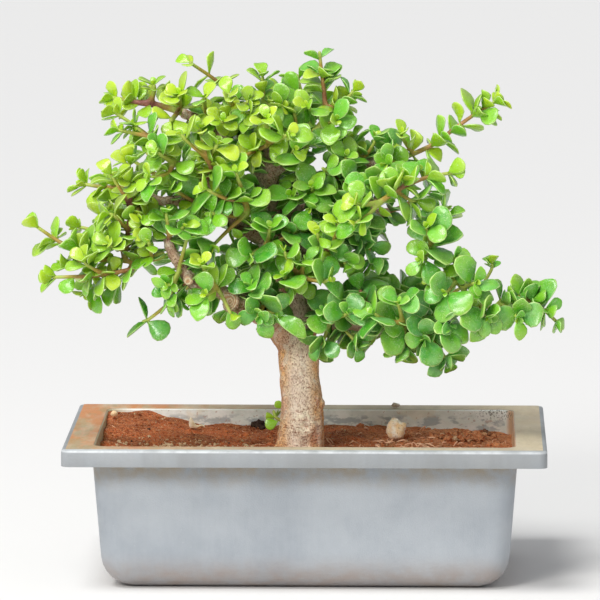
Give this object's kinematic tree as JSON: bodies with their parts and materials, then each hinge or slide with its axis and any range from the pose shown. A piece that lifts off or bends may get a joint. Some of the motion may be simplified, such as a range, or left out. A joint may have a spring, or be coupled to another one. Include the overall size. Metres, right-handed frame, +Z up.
{
  "type": "jade bonsai in a training tray",
  "caption": "Small-leaved jade bonsai with a stout trunk and a spreading crown of round fleshy leaves, in soil in a deep rectangular plastic tray with a broad flat rim.",
  "frame": {"origin": "middle of the flat underside of the tray", "axes": "+Z up out of the soil, +X to the right along the tray's long side as seen from the front, -Y to the front, where the trunk stands nearer to the rim"},
  "size_m": [0.3156, 0.19, 0.3096],
  "materials": {
    "tray_plastic": "weathered blue-grey moulded plastic",
    "soil": null,
    "bark": "thin tan to brown bark with fine specks",
    "leaf_mature": null,
    "leaf_young": null,
    "stone": "dull pale stone",
    "dry_chip": "pale dry husk"
  },
  "bodies": {
    "root": {"tray": "tray_plastic", "soil": "soil", "wood": "bark", "pebble": "stone", "rim_clod": "stone", "dry_chip": "dry_chip", "corner_stone": "stone", "spray_high_left": "leaf_young", "spray_top_left": "leaf_young", "spray_crown_left": "leaf_mature", "spray_crown_rise": "leaf_young", "spray_crown_peak": "leaf_mature", "spray_crown_front": "leaf_young", "spray_lime_rosette": "leaf_young", "spray_shoulder": "leaf_mature", "spray_twig_left": "leaf_young", "spray_left_reach": "leaf_young", "spray_left_inside": "leaf_mature", "spray_drop_left": "leaf_mature", "spray_branch_end": "leaf_mature", "spray_knob_lime": "leaf_young", "spray_pink_top": "leaf_mature", "spray_heart_left": "leaf_mature", "spray_centre_lime": "leaf_mature", "spray_heart": "leaf_young", "spray_trunk_front": "leaf_mature", "spray_top_centre": "leaf_mature", "spray_top_notch": "leaf_mature", "spray_peak": "leaf_mature", "spray_ridge": "leaf_mature", "spray_ridge_dark": "leaf_mature", "spray_long_arm": "leaf_young", "spray_arm_front": "leaf_mature", "spray_olive_arm": "leaf_young", "spray_mid_dark": "leaf_mature", "spray_fork_lime": "leaf_young", "spray_right_hang": "leaf_mature", "spray_twig_right": "leaf_young", "spray_low_right": "leaf_young", "spray_low_edge": "leaf_mature", "spray_low_hang": "leaf_mature", "spray_low_front": "leaf_mature", "spray_sucker": "leaf_young", "spray_back_crown": "leaf_mature", "spray_back_under": "leaf_mature", "spray_back_peak": "leaf_mature", "spray_back_left_high": "leaf_mature", "spray_back_left": "leaf_mature", "spray_back_left_mid": "leaf_mature", "spray_back_left_in": "leaf_mature", "spray_back_right_high": "leaf_mature", "spray_back_right": "leaf_mature", "spray_back_right_mid": "leaf_mature", "spray_back_middle": "leaf_mature", "spray_back_low_left": "leaf_mature", "spray_back_low_mid": "leaf_mature", "spray_back_low": "leaf_mature", "spray_back_low_right": "leaf_mature", "spray_back_low_right_in": "leaf_mature", "spray_back_low_hang": "leaf_mature"}
  },
  "joints": []
}
